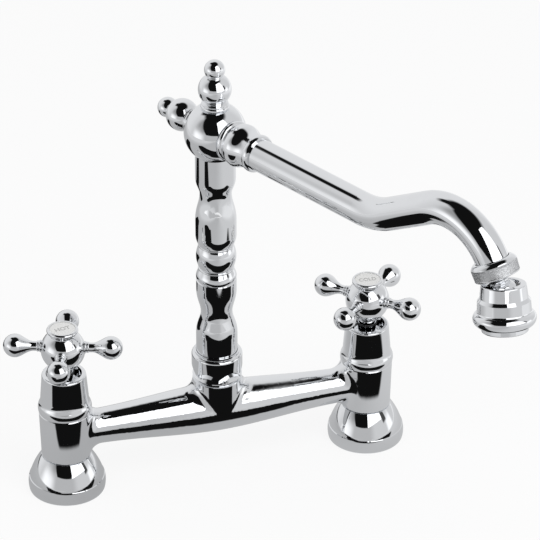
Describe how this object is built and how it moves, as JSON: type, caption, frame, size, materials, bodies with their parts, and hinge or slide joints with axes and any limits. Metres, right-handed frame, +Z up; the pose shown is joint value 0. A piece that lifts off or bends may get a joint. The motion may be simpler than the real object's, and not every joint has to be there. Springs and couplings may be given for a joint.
{
  "type": "bridge kitchen faucet",
  "caption": "Deck-mounted bridge faucet: two cross-handle valves joined by a bar, a turned column on a collar nut, a swivelling swan spout and a ball-jointed aerator, in bright chrome.",
  "frame": {"origin": "on the deck, midway between the two inlets, straight under the column", "axes": "+X from the hot valve to the cold valve, -Y towards the user, +Z up"},
  "size_m": [0.2383, 0.2562, 0.2616],
  "materials": {
    "chrome": "bright chrome plate, polished, on brass",
    "brass": "turned brass",
    "steel": "plain stainless steel",
    "rubber": "matt black rubber",
    "ceramic": "lapped white ceramic",
    "index_enamel": "satin white, printed in grey",
    "acetal": "white acetal"
  },
  "bodies": {
    "bridge": {"bridge_body": "chrome", "collar_nut": "chrome", "hot_base_flange": "chrome", "hot_base_gasket": "rubber", "hot_shroud": "chrome", "hot_cartridge": "chrome", "hot_seat_seal": "rubber", "hot_fixed_disc": "ceramic", "hot_gland_nut": "chrome", "cold_base_flange": "chrome", "cold_base_gasket": "rubber", "cold_shroud": "chrome", "cold_cartridge": "chrome", "cold_seat_seal": "rubber", "cold_fixed_disc": "ceramic", "cold_gland_nut": "chrome"},
    "hot_handle": {"hot_handle_hub": "chrome", "hot_handle_arms": "chrome", "hot_index_ring": "chrome", "hot_index_disc": "index_enamel", "hot_handle_screw": "steel", "hot_spindle": "brass", "hot_spindle_seal": "rubber", "hot_moving_disc": "ceramic"},
    "cold_handle": {"cold_handle_hub": "chrome", "cold_handle_arms": "chrome", "cold_index_ring": "chrome", "cold_index_disc": "index_enamel", "cold_handle_screw": "steel", "cold_spindle": "brass", "cold_spindle_seal": "rubber", "cold_moving_disc": "ceramic"},
    "spout": {"spout_column": "chrome", "column_seals": "rubber", "column_retaining_ring": "steel", "spout_hub": "chrome", "top_finial": "chrome", "rear_finial": "chrome", "neck_collar": "chrome", "tube_seal": "rubber", "spout_tube": "chrome", "tube_ferrule": "chrome", "knurled_nut": "chrome", "swivel_washer": "rubber", "swivel_ball": "chrome"},
    "swivel_ring": {"ball_ring": "acetal"},
    "swivel_seat": {"ball_seat": "acetal"},
    "aerator": {"aerator_cap": "chrome", "aerator_body": "chrome", "aerator_washer": "rubber", "aerator_insert": "chrome", "flow_spreader": "acetal", "flow_plate": "steel"}
  },
  "joints": [
    {"name": "hot_handle_turn", "type": "hinge", "parent": "bridge", "child": "hot_handle", "pos_m": [-0.09, 0, 0], "axis": [0, 0, 1], "range_deg": [0, 90]},
    {"name": "cold_handle_turn", "type": "hinge", "parent": "bridge", "child": "cold_handle", "pos_m": [0.09, 0, 0], "axis": [0, 0, 1], "range_deg": [-90, 0]},
    {"name": "spout_swivel", "type": "hinge", "parent": "bridge", "child": "spout", "pos_m": [0, 0, 0], "axis": [0, 0, 1], "continuous": true},
    {"name": "aerator_swing", "type": "hinge", "parent": "spout", "child": "swivel_ring", "pos_m": [0.09742, -0.19625, 0.21017], "axis": [0.2115, -0.426, -0.8796], "continuous": true},
    {"name": "aerator_tilt", "type": "hinge", "parent": "swivel_ring", "child": "swivel_seat", "pos_m": [0.09742, -0.19625, 0.21017], "axis": [0.6503, 0.7332, -0.1988], "range_deg": [-38.95, 3.05]},
    {"name": "aerator_spin", "type": "hinge", "parent": "swivel_seat", "child": "aerator", "pos_m": [0.09742, -0.19625, 0.21017], "axis": [-0.0237, -0.2419, -0.97], "continuous": true}
  ]
}
